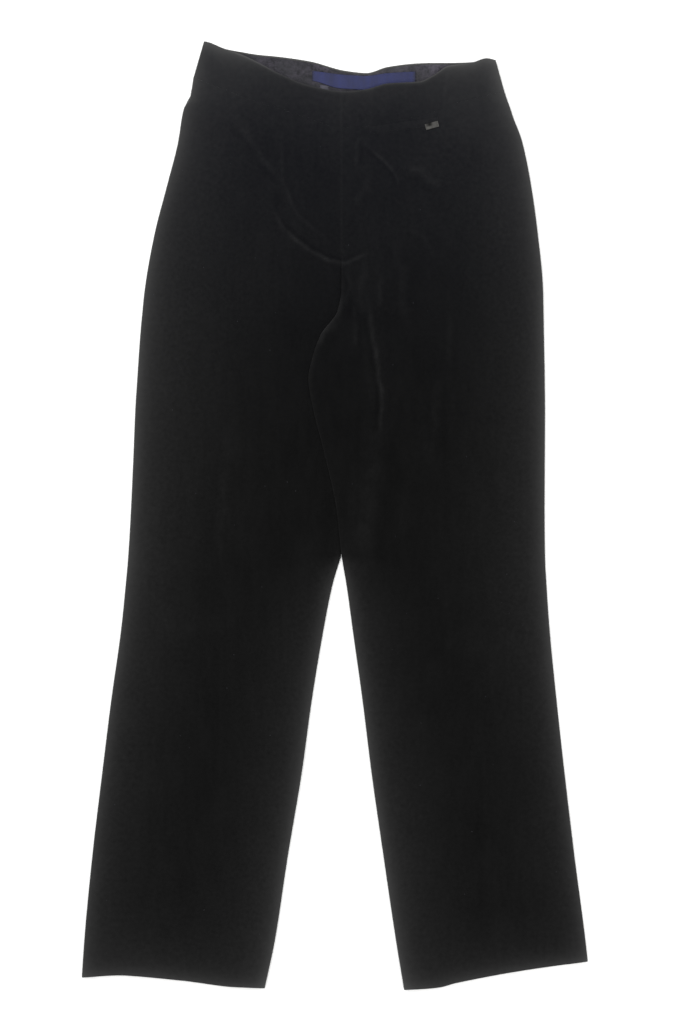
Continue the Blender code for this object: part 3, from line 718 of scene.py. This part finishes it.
# Patches painted paler or darker, partly the velvet's own tone and partly painted light and shade: middle and
# half sizes in mm, turn in degrees
toneAndShadingPatches = namedRows(("side", "x", "y", "halfAcross", "halfUp", "turn", "light"), (
    ("both", 10, 865, 95, 90, 20, 0.028),
    ("left", 145, 995, 48, 50, 0, 0.064),
    ("right", -130, 1020, 35, 45, 0, 0.046),
    ("both", -90, 800, 35, 60, -15, 0.018),
    ("left", 28, 800, 30, 65, 0, 0.014),
    ("left", 20, 520, 20, 60, 0, 0.022),
    ("left", 100, 930, 30, 18, -25, 0.020),
    ("right", -150, 720, 30, 110, 0, 0.010),
    ("left", 196, 937, 30, 55, 0, 0.050),
    ("right", -170, 975, 20, 45, 0, 0.030),
    # painted shadow below the strong fold under the fly
    ("right", -73.5, 891.6, 6, 9, 0, -0.030),
    ("left", 160, 900, 60, 90, 0, 0.022),
    ("right", -150, 900, 60, 90, 0, 0.014),
    ("left", 35, 694, 10, 45, 0, 0.028),
    ("left", 0, 745, 20, 20, 0, 0.020),
    ("left", 80, 880, 25, 45, 0, 0.022),
    ("right", -69, 880, 30, 40, 0, 0.016),
    ("left", 200, 850, 20, 40, 0, 0.018),
    ("right", -204, 790, 20, 60, 0, 0.016),
    ("left", 140, 650, 60, 200, 0, -0.012),
    ("right", -170, 470, 50, 120, 0, -0.014),
    ("left", 110, 380, 40, 70, 0, -0.010),
    ("left", 236, 300, 12, 100, 0, 0.014),
    ("right", -260, 50, 50, 40, 0, 0.022),
    ("left", 200, 45, 80, 40, 0, -0.022),
    ("left", 182, 1020, 14, 34, 0, 0.100),
    ("right", -169, 1050, 12, 34, 0, 0.085),
    ("right", -35, 490, 15, 30, 0, 0.024),
    ("right", -105, 200, 35, 180, 0, -0.005),
    ("left", 67, 540, 20, 50, 0, 0.008),
    ("left", 70, 380, 30, 120, 0, -0.012),
    ("left", 35, 975, 35, 30, 0, -0.018),
))


def napAndLightField(side, x, y, light):
    # the velvet's paleness, mostly painted light: glare along the outline, seams, the fold, patches and
    # creases
    look = napAndLightLook
    legLevel = np.minimum(y, apex)
    apart = np.maximum(innerAt["left"](legLevel) - innerAt["right"](legLevel), 0.0)
    inner = np.hypot(x - innerAt[side](legLevel), y - legLevel)
    gaps = np.stack([inner, x - sideAt["right"](y), sideAt["left"](y) - x,
                     y - hemCurves[side](np.abs(x)), waistAt["backTop"](x) - y])
    along = look["sideAtHem"] + (1 - look["sideAtHem"]) * ease(y / look["sideFull"])
    ends = [np.full(x.shape, look["hem"]), np.full(x.shape, look["top"])]
    napAndLight = look["leg"] + look["shin"] * ease((look["shinLevel"] - y) / look["shinFade"])
    for band in look["bands"]:
        shares = np.stack([band["inner"] * apart / (apart + band["gap"]), along, along * band["left"], *ends])
        near = np.exp(-np.maximum(gaps, 0.0) / band["width"]) * shares
        napAndLight = napAndLight + band["light"] * (near ** band["power"]).sum(axis=0) ** (1 / band["power"])
    centre = np.where(y < crotch, np.inf, np.abs(x))  # the centre seam ends at the crotch
    # painted light along the seams, against the shade in their grooves
    napAndLight = napAndLight + look["seam"] * bell(centre / look["seamWidth"])
    napAndLight = napAndLight + look["waistSeam"] * bell((y - waistAt["frontSeam"](x)) / look["waistSeamWidth"])
    onFold = ease((y - apex) / look["foldStart"]) * ease((crotch + look["foldPast"] - y) / look["foldEnd"])
    fromFold = x - innerAt["left"](y)
    if side == "left":
        above = ease((y - look["foldLevel"]) / look["foldFade"])
        onFold = onFold * (look["foldLow"] + (1 - look["foldLow"]) * above)
        napAndLight = napAndLight + look["fold"] * onFold * bell((fromFold - look["foldIn"]) / look["foldWidth"])
    else:
        # painted light beside the fold, lifting its shadow on the right leg
        napAndLight = napAndLight + look["shadowLift"] * onFold * bell(fromFold / look["besideWidth"])
    for place in toneAndShadingPatches:
        if place["side"] in (side, "both"):
            turn = np.radians(place["turn"])
            fromX, fromY = x - place["x"] * mm, y - place["y"] * mm
            a = (fromX * np.cos(turn) + fromY * np.sin(turn)) / (place["halfAcross"] * mm)
            b = (fromY * np.cos(turn) - fromX * np.sin(turn)) / (place["halfUp"] * mm)
            napAndLight = napAndLight + place["light"] * np.exp(-a ** 2 - b ** 2)
    return napAndLight + light


panelLook = {"wall": "wall", "frontSpacing": 2.6 * mm, "backSpacing": 6.0 * mm,
             "legRow": 3.2 * mm, "thighRow": 2.8 * mm, "seatRow": 2.4 * mm, "backRow": 9.0 * mm,
             "curlFade": 0.06, "hemFade": 4 * mm}


def legCurl(v):
    # the centre edge is folded along the inner leg, and lies flat along the centre seam
    return 1 - ease((v - 2 + panelLook["curlFade"]) / panelLook["curlFade"])


def noCurl(v):
    # a waistband's centre edge is sewn and lies flat
    return np.zeros(v.shape)


def panelRows(layer):
    # even rows in each zone, with close ones at the hem and at the waist seam
    names = ("legRow", "thighRow", "seatRow") if layer == "front" else ("backRow",) * 3
    rows = [zone + np.linspace(0, 1, int(length / panelLook[name]) + 1)[:-1]
            for zone, (length, name) in enumerate(zip(zoneLengths, names))]
    rows = np.concatenate(rows)
    low, high = closeSteps / zoneLengths[0], 3 - closeSteps / zoneLengths[2]
    rows = rows[(rows > low[-1]) & (rows < high[-1])]
    return np.unique(np.concatenate([low, rows, high]).round(6))


def hemGap(u, v):
    # metres to the nearer of the hem and the waist seam, which is pressed flatter
    return np.minimum(v * zoneLengths[0], (3 - v) * zoneLengths[2] + cloth["seamFlat"]) * np.ones(u.shape)


def panelExtra(side, layer, x, y):
    # creases, and on the front the puckers and the turned-up hem
    rise = creaseFields(side, x, y, layer)[0]
    if layer == "back":
        return rise
    aboveHem = y - hemCurves[side](np.abs(x)) - cloth["hemDepth"]
    return rise + puckerHeight(side, x, y) + cloth["hemStep"] * (1 - ease(aboveHem / panelLook["hemFade"]))


def makePanel(side, layer):
    faces = shellFaces(side, layer, panelRows(layer), panelLook, panelPlan, legCurl, hemGap, panelExtra)
    x, y = seen(faces)
    napAndLight = napAndLightField(side, x, y, creaseFields(side, x, y, layer)[1])
    return makeShell(layer + side.capitalize() + "Panel", layer + "_" + side, faces, velvet, napAndLight)


panels = {(layer, side): makePanel(side, layer) for side in bothSides for layer in ("back", "front")}
print("panels made")


# Waistband

bandLook = {"wall": "bandWall", "frontSpacing": 2.6 * mm, "backSpacing": 4.0 * mm, "row": 2.5 * mm,
            # innerLight is painted light on the front band's inner face, lightening the rim of its top edge;
            # rimLight is the same on the back's inner face and its roll
            "depth": 40 * mm, "innerLight": 0.5,
            "edgeLight": 0.56, "edgeWidth": 1.8 * mm,  # the turned top edge catches the light
            "middleShare": 0.50, "middleHalf": 60 * mm, "middleFade": 35 * mm,  # less of it in the middle
            "apart": 3 * mm,  # and none where it lies on the back's edge
            "rollHeight": 1.1 * mm, "rollIn": 0.9 * mm, "rollHalf": 1.0 * mm, "rimLight": 1.5}


def bandGap(u, t):
    # metres to the nearer of the waist seam, which is pressed flatter, and the top edge
    depth = bandLook["depth"]
    return np.minimum(t * depth + cloth["seamFlat"], (1 - t) * depth) * np.ones(u.shape)


def bandExtra(side, layer, x, y):
    # creases on the front, nothing on the back
    return creaseFields(side, x, y)[0] if layer == "front" else np.zeros(x.shape)


def bandFaces(side, layer):
    rows = endSteps(bandLook["depth"], bandLook["row"]) / bandLook["depth"]
    return shellFaces(side, layer, rows, bandLook, bandPlan, noCurl, bandGap, bandExtra)


def makeBands():
    look, made = bandLook, {}
    for side in bothSides:
        faces = bandFaces(side, "front")
        x, y = seen(faces)
        clear = ease((waistAt["backTop"](x) - waistAt["frontTop"](x)) / look["apart"])
        outward = ease((np.abs(x) - look["middleHalf"]) / look["middleFade"])
        along = look["middleShare"] + (1 - look["middleShare"]) * outward
        onEdge = bell((waistAt["frontTop"](x) - y) / look["edgeWidth"])
        light = creaseFields(side, x, y)[1] + look["edgeLight"] * along * clear * onEdge
        made[side] = makeShell("frontBand" + side.capitalize(), "waistband_front_" + side, faces,
                               velvet, napAndLightField(side, x, y, light), look["innerLight"])
    right, left = bandFaces("right", "back"), bandFaces("left", "back")
    faces = [np.hstack([a[:, :-1], b[:, ::-1]]) for a, b in zip(right, left)]
    # inside, the velvet turns over the top edge in a low roll beside the facing
    across = (waistAt["backTop"](faces[1][..., 0]) - faces[1][..., 1] - look["rollIn"]) / look["rollHalf"]
    faces[1][..., 2] += look["rollHeight"] * np.clip(1 - across ** 2, 0, None)
    x, y = seen(faces)
    made["back"] = makeShell("backBand", "waistband_back", faces, velvet,
                             napAndLightField("right", x, y, np.zeros(x.shape)), look["rimLight"])
    return made


bands = makeBands()
print("waistband made")


# Inside the back waist: facing, label, size label

insideLook = {
    # follow is how far a strip bends with the back's top edge, and level the height it bends about; wave is
    # how high it lifts, and tuck how much of its lower corner is turned under; satin is its material's name,
    # the dark and light colour its painted sheen runs between, the size of its clouds in mm and its gloss
    "facing": {"node": "waistband_facing", "slot": "facing", "wall": "facingWall",
               "ends": (-0.1440, 0.1640), "drop": 2.0 * mm, "depth": 34.5 * mm,
               "follow": 1.0, "wave": 0.0, "tuck": 0.0},
    "label": {"node": "inner_label", "slot": "label", "wall": "tapeWall",
              "satin": ("labelSatinBlue", "#070a22", "#182157", 9, 0.34),
              "ends": (-0.0328, 0.0836), "drop": 10.2 * mm, "depth": 15.8 * mm,
              "follow": 0.45, "wave": 0.22 * mm, "tuck": 4.5 * mm},
    "sizeLabel": {"node": "size_label", "slot": "size_label", "wall": "tapeWall",
                  "satin": ("sizeLabelSatinGrey", "#282730", "#474552", 6, 0.4),
                  "ends": (-0.0242, -0.0146), "drop": 24.9 * mm, "depth": 11.0 * mm,
                  "follow": 0.45, "wave": 0.05 * mm, "tuck": 0.0},
    "tuckLength": 30 * mm,  # along a strip whose lower corner is tucked under
    "level": 1.0475, "spacing": 1.5 * mm, "edgeRound": 0.40 * mm, "waveLength": 23 * mm,
    "turned": 3.5 * mm, "tapeShine": (0.15, 0.30),  # a tape darkens towards its ends over this length
    # the facing's painted light and shade: shares that set in from a place across, over a length
    "facingShine": ((0.36, 86 * mm, 20 * mm), (0.18, -70 * mm, -40 * mm)),
    "upperShine": ((0.36, -40 * mm, 20 * mm), (0.22, 45 * mm, 25 * mm), (-0.58, 98 * mm, 20 * mm)),
    "upperReach": 5.5 * mm,  # down from its upper edge
    "calmEnds": 14 * mm, "ripples": (0.6, 0.4, 1.9, 1.0),
    "innerShine": 0.2,
}
# twill lines and ribs are coarser than real ones, so that they show
facingLook = {"twillMm": 0.7, "twillShade": 0.30, "weaveDepthMm": 0.12,
              "mottleMm": 5, "mottle": ((0.37, "#151319"), (0.65, "#3e3a43")),
              "cloudMm": 26, "cloud": "#262729"}
satinLook = {"ribMm": 0.6, "weaveDepthMm": 0.12, "cloudy": 0.9, "stretch": 0.25}


def makeFacingMaterial():
    # printed twill facing: soft grey-lilac mottle over a fine weave, paler or darker where the shine field
    # paints light and shade
    look = facingLook
    material, tree, spot = newMaterial("facingMottledTwill")
    twill = addLines(tree, spot, "DIAGONAL", look["twillMm"], Distortion=0.5)
    ramp = tree.nodes.new("ShaderNodeValToRGB")
    setInputs(tree, ramp, {"Fac": addNoise(tree, spot, look["mottleMm"], 5.0, Roughness=0.66)})
    for end, (place, shade) in zip(ramp.color_ramp.elements, look["mottle"]):
        end.position, end.color = place, linearColour(shade)
    cloudy = addMix(tree, addNoise(tree, spot, look["cloudMm"], 2.0), ramp.outputs["Color"], look["cloud"])
    threads = addMath(tree, "MULTIPLY_ADD", twill, look["twillShade"], 1 - look["twillShade"] / 2)
    lit = addMath(tree, "MULTIPLY", threads, addMath(tree, "ADD", addField(tree, "shine"), 1.0))
    colour = addNode(tree, "VectorMath", {0: cloudy, "Scale": lit}, operation="SCALE")
    return finished(material, colour, addBump(tree, twill, look["weaveDepthMm"], 0.8), 0.8, 0.2)


def makeSatinMaterial(name, dark, light, cloudMm, gloss):
    # satin-woven tape: ribs along it, cloudy sheen painted into its colour, paler or darker by the shine
    # field
    look = satinLook
    material, tree, spot = newMaterial(name)
    ribs = addLines(tree, spot, "Y", look["ribMm"], Distortion=0.8, Detail=1.0)
    upright = addNode(tree, "Mapping", {"Vector": spot, "Scale": (1.0, look["stretch"], 1.0)})
    cloud = addSwing(tree, upright, cloudMm, 3.0, look["cloudy"])
    colour = addMix(tree, addMath(tree, "ADD", cloud, addField(tree, "shine"), use_clamp=True), dark, light)
    return finished(material, colour, addBump(tree, ribs, look["weaveDepthMm"], 0.9), 0.5, gloss)


def stripTop(strip, x):
    # its upper edge: a drop below the level, bent by a share of the back's own bend
    level = insideLook["level"]
    return level - strip["drop"] + strip["follow"] * (waistAt["backTop"](x) - level)


def stripDepth(strip, x):
    # less by the tuck at the end on the wearer's right
    return strip["depth"] - strip["tuck"] * (1 - ease((x - strip["ends"][0]) / insideLook["tuckLength"]))


def stripWave(strip, x):
    # how far a strip lifts off what it lies on, least at its sewn ends
    inward = ease(np.minimum(x - strip["ends"][0], strip["ends"][1] - x) / insideLook["calmEnds"])
    turn = 2 * np.pi * x / insideLook["waveLength"]
    first, second, times, start = insideLook["ripples"]
    return strip["wave"] * inward * (1 + first * np.sin(turn) + second * np.sin(times * turn + start))


def stripFaces(strip, low):
    # a strip of its depth below its upper edge; the upper face rounds off at all four edges
    ends, depth = strip["ends"], strip["depth"]
    x = endSteps(ends[1] - ends[0], insideLook["spacing"]) + ends[0]
    t = endSteps(depth, insideLook["spacing"])
    x, t = np.meshgrid(x, t)
    y = stripTop(strip, x) - (1 - t / depth) * stripDepth(strip, x)
    rim = np.minimum(np.minimum(x - ends[0], ends[1] - x), np.minimum(t, depth - t))
    r = insideLook["edgeRound"]
    away = 1 - np.clip(rim / r, 0, 1)
    base = low + stripWave(strip, x)
    upper = base + cloth[strip["wall"]] - r * (1 - np.sqrt(1 - away ** 2))
    return [beside(x, y, upper), beside(x, y, base)]


def settingIn(x, rows):
    # the sum of the rows' shares, each eased in from its place over its length
    return sum(share * ease((x - place) / length) for share, place, length in rows)


def stripShine(name, strip, x, y):
    # painted light on the facing towards both ends and along its upper edge round the label, with painted
    # shade where the front's top edge comes close; a tape is darker towards its ends
    look = insideLook
    if name == "facing":
        nearTop = bell((stripTop(strip, x) - y) / look["upperReach"])
        return settingIn(x, look["facingShine"]) + settingIn(x, look["upperShine"]) * nearTop
    low, more = look["tapeShine"]
    return low + more * ease(np.minimum(x - strip["ends"][0], strip["ends"][1] - x) / look["turned"])


def makeInside():
    # three strips one on the other, each a little clear of what it lies on
    onBand = cloth["bandWall"] + cloth["trimGap"]
    onFacing = onBand + cloth["facingWall"] + cloth["trimGap"]
    made = {}
    for name, low in (("facing", onBand), ("label", onFacing), ("sizeLabel", onFacing)):
        strip = insideLook[name]
        material = makeSatinMaterial(*strip["satin"]) if "satin" in strip else makeFacingMaterial()
        faces = stripFaces(strip, low)
        shine = stripShine(name, strip, *seen(faces))
        made[name] = makeShell("inside" + name[0].upper() + name[1:], strip["node"], faces,
                               material, shine, insideLook["innerShine"], "shine")
    return made, onFacing


inside, onFacing = makeInside()
print("facing and labels made")


# Pocket welt and tab on the left front

pocketLook = {
    "welt": {"middle": (0.0705, 0.9750), "size": (79.0 * mm, 8.8 * mm), "tilt": 7.8, "blend": 2.6 * mm,
             "wall": "weltWall", "crown": 0.0},
    "tab": {"middle": (0.1021, 0.9752), "size": (15.2 * mm, 6.6 * mm), "tilt": 15.0, "blend": 0.0,
            "wall": "tapeWall", "crown": 0.35 * mm},
    "clear": 0.12 * mm, "spacing": 0.9 * mm, "weltLight": 0.02,
    "edge": 0.3 * mm, "edgeWidth": 0.5 * mm, "thin": 0.10,  # thin is what a sewn edge keeps
    # the tab's painted sheen, with painted shade where its upper edge goes into the slot: from this line up,
    # about this place
    "shine": 0.78, "slotShade": 0.85, "shadeUp": -1.4 * mm, "shadeFade": 2.4 * mm,
    "shadeAt": -2.8 * mm, "shadeHalf": 3.2 * mm, "innerShine": 0.3,
    "satin": ("tabTapeGrey", "#0e0e0e", "#494846", 4, 0.06),
}


def onFront(x, y):
    # the left front's outer face
    return topside("left", x, y) + creaseFields("left", x, y)[0] + puckerHeight("left", x, y)


def turnedPlaces(shape, a, b):
    # places of a rectangle turned about its middle
    angle = np.radians(shape["tilt"])
    x = shape["middle"][0] + a * np.cos(angle) - b * np.sin(angle)
    y = shape["middle"][1] + a * np.sin(angle) + b * np.cos(angle)
    return x, y


def crownHeight(shape, a, b):
    # highest in the middle, none along the edges
    width, depth = shape["size"]
    return shape["crown"] * (1 - (2 * a / width) ** 2) * (1 - (2 * b / depth) ** 2)


def turnedFaces(shape, low):
    # A rectangle lying on the front. Its upper face rounds off at the edges; a welt thins away towards
    # them, because it is sewn in all round; a tab bulges by its crown.
    width, depth = shape["size"]
    a, b = np.meshgrid(endSteps(width, pocketLook["spacing"]) - width / 2,
                       endSteps(depth, pocketLook["spacing"]) - depth / 2)
    x, y = turnedPlaces(shape, a, b)
    rim = np.minimum(width / 2 - np.abs(a), depth / 2 - np.abs(b))
    thin = pocketLook["thin"]
    thick = thin + (1 - thin) * ease(rim / shape["blend"]) if shape["blend"] > 0 else 1.0
    base = onFront(x, y) + low
    away = 1 - np.clip(rim / pocketLook["edgeWidth"], 0, 1)
    upper = base + thick * (cloth[shape["wall"]] - pocketLook["edge"] * away ** 2) + crownHeight(shape, a, b)
    return [beside(x, y, upper), beside(x, y, base)], a, b


def makePocket():
    look = pocketLook
    faces = turnedFaces(look["welt"], look["clear"])[0]
    x, y = seen(faces)
    napAndLight = napAndLightField("left", x, y, np.full(x.shape, look["weltLight"]))
    welt = makeShell("pocketWelt", "pocket_welt", faces, velvet, napAndLight)
    faces, a, b = turnedFaces(look["tab"], look["clear"] + cloth["weltWall"] + cloth["trimGap"])
    slotShade = ease((b - look["shadeUp"]) / look["shadeFade"]) * bell((a - look["shadeAt"]) / look["shadeHalf"])
    tape = makeSatinMaterial(*look["satin"])
    tab = makeShell("frontTab", "front_tab", faces, tape, look["shine"] - look["slotShade"] * slotShade,
                    look["innerShine"], "shine")
    return welt, tab


welt, tab = makePocket()
print("pocket welt and tab made")


# Hand and machine stitches that hold the facing, the label and the tab

stitchLook = {
    "long": 2.3 * mm, "pitch": 3.3 * mm, "thick": 0.22 * mm, "sides": 6, "rings": 5, "blunt": 0.6,
    "sunk": 0.05 * mm, "above": 0.055 * mm,  # its ends below its middle; its middle off the cloth
    "twistMm": 0.4, "twistDepthMm": 0.05,
    "threads": {"facing": "#1d1b20", "label": "#0d1030", "tab": "#1c1c1c"},
    "facingIn": 4 * mm, "facingDown": 2.2 * mm,  # in from the facing's ends; below its upper edge
    "labelIn": 1.8 * mm, "labelDown": 2.2 * mm, "labelUp": 1.5 * mm,
    "tabIn": 1.3 * mm, "tabHalf": 1.6 * mm,
}


def makeStitches(slot, x, y, z, heading):
    # One stitch for each place: a closed spindle along its heading, round across, made of rings that
    # shrink towards two poles, in twisted polyester sewing thread, dull with a slight gloss.
    look, sides, rings = stitchLook, stitchLook["sides"], stitchLook["rings"]
    material, tree, spot = newMaterial(slot + "Thread")
    twist = addBump(tree, addNoise(tree, spot, look["twistMm"], 1.0), look["twistDepthMm"], 0.6)
    material = finished(material, linearColour(look["threads"][slot]), twist, 0.6)
    along = -np.cos(np.linspace(0, np.pi, rings + 2))
    times = [1] + [sides] * rings + [1]
    spine = np.repeat(along, times) * look["long"] / 2
    fat = np.repeat(np.sqrt(np.clip(1 - along ** 2, 0, 1)) ** look["blunt"], times) * look["thick"] / 2
    turns = np.hstack([0, np.tile(np.arange(sides) * 2 * np.pi / sides, rings), 0])
    sideways, up = fat * np.cos(turns), fat * np.sin(turns) - (spine / look["long"]) ** 2 * 4 * look["sunk"]
    x, y, z, heading = (np.broadcast_to(part, x.shape)[:, None] for part in (x, y, z, heading))
    places = beside(x + spine * np.cos(heading) - sideways * np.sin(heading),
                    y + spine * np.sin(heading) + sideways * np.cos(heading), z + up)
    ring = 1 + np.arange(rings * sides).reshape(rings, sides)
    after = np.roll(ring, -1, axis=1)
    start = (np.arange(len(x)) * len(spine))[:, None, None]
    faces = []
    for part in (beside(ring[:-1], after[:-1], after[1:], ring[1:]).reshape(-1, 4),
                 beside(0, after[0], ring[0]), beside(len(spine) - 1, ring[-1], after[-1])):
        faces += (part + start).reshape(-1, part.shape[1]).tolist()
    return addPiece(slot + "Stitches", places.reshape(-1, 3), faces, material)


def makeAllStitches():
    look, pitch, above = stitchLook, stitchLook["pitch"], stitchLook["above"]
    facing, label, shape = insideLook["facing"], insideLook["label"], pocketLook["tab"]
    # one row along the facing's upper edge
    x = np.arange(facing["ends"][0] + look["facingIn"], facing["ends"][1] - look["facingIn"], pitch)
    level = stripTop(facing, x) - look["facingDown"]
    height = cloth["bandWall"] + cloth["trimGap"] + cloth["facingWall"] + above
    makeStitches("facing", x, level, height, np.arctan2(np.gradient(level), np.gradient(x)))
    # an upright row at each end of the label
    down = np.arange(look["labelDown"], label["depth"] - look["labelUp"], pitch)
    x = np.repeat((label["ends"][0] + look["labelIn"], label["ends"][1] - look["labelIn"]), len(down))
    level = stripTop(label, x) - np.tile(down, 2) * stripDepth(label, x) / label["depth"]
    makeStitches("label", x, level, onFacing + stripWave(label, x) + cloth["tapeWall"] + above, np.pi / 2)
    # two stitches across each end of the tab
    a = np.repeat(np.array([-1.0, 1.0]) * (shape["size"][0] / 2 - look["tabIn"]), 2)
    b = np.tile(np.array([-1.0, 1.0]) * look["tabHalf"], 2)
    x, y = turnedPlaces(shape, a, b)
    height = onFront(x, y) + pocketLook["clear"] + cloth["weltWall"] + cloth["trimGap"] + cloth["tapeWall"]
    makeStitches("tab", x, y, height + crownHeight(shape, a, b) + above, np.radians(shape["tilt"] + 90))


makeAllStitches()
print("stitches made")


# What each piece of cloth was cut to

cutSteps = 20


def cutSize(plan, side, layer, top):
    # the box and the area of a plan; a cell's area is half the cross product of its diagonals
    u, v = np.meshgrid(np.linspace(0, 1, cutSteps + 1), np.linspace(0, top, top * cutSteps + 1))
    points = plan(side, layer, u, v)
    one, other = points[:-1, :-1] - points[1:, 1:], points[:-1, 1:] - points[1:, :-1]
    area = np.abs(one[..., 0] * other[..., 1] - other[..., 0] * one[..., 1]).sum() / 2
    return (float(np.ptp(points[..., 0])), float(np.ptp(points[..., 1]))), float(area)


def declareCloth():
    for (layer, side), piece in panels.items():
        size, area = cutSize(panelPlan, side, layer, 3)
        below = [panels["back", side].name] if layer == "front" else []
        if side == "left":
            below = below + [panels["front", "right"].name]
    for side in bothSides:
        size, area = cutSize(bandPlan, side, "front", 1)


declareCloth()
